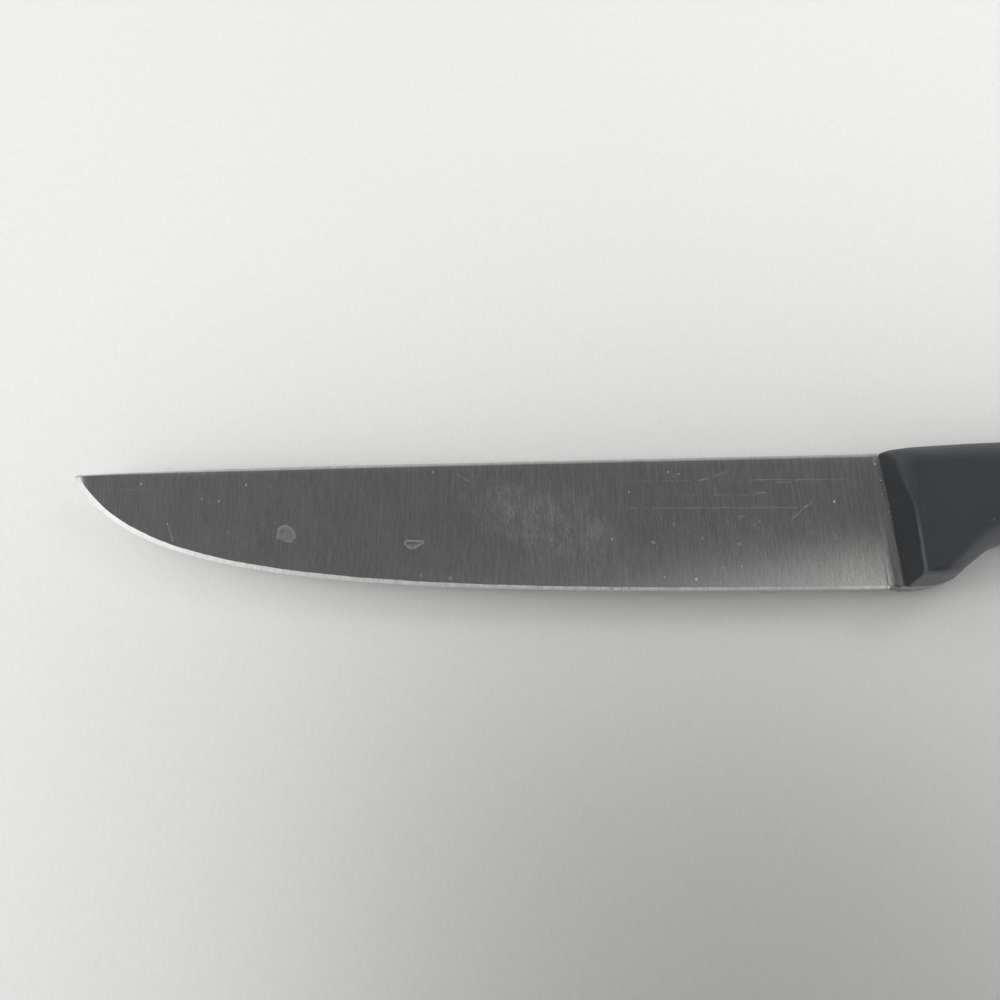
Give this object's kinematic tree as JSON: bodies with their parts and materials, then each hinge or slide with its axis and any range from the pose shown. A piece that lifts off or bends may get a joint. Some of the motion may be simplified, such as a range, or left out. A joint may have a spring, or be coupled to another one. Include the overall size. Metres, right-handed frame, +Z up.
{
  "type": "kitchen utility knife",
  "caption": "Fixed-blade kitchen utility knife with a straight spine, a curved belly, a full tang and black riveted handle scales, for slicing and trimming food by hand.",
  "frame": {"origin": "under the middle of the knife's footprint, on the surface that it lies on", "axes": "+X from the blade tip to the butt of the handle, +Y from the cutting edge to the spine, +Z up out of the left side of the knife"},
  "size_m": [0.2618, 0.027, 0.0132],
  "materials": {
    "blade_steel": "satin, ground square to the edge",
    "handle_plastic": "moulded, satin black",
    "rivet_metal": "ground flush with the scales"
  },
  "bodies": {
    "root": {"blade": "blade_steel", "left_scale": "handle_plastic", "right_scale": "handle_plastic", "front_rivet_sleeve": "rivet_metal", "front_rivet_pin": "rivet_metal", "middle_rivet_sleeve": "rivet_metal", "middle_rivet_pin": "rivet_metal", "rear_rivet_sleeve": "rivet_metal", "rear_rivet_pin": "rivet_metal"}
  },
  "joints": []
}
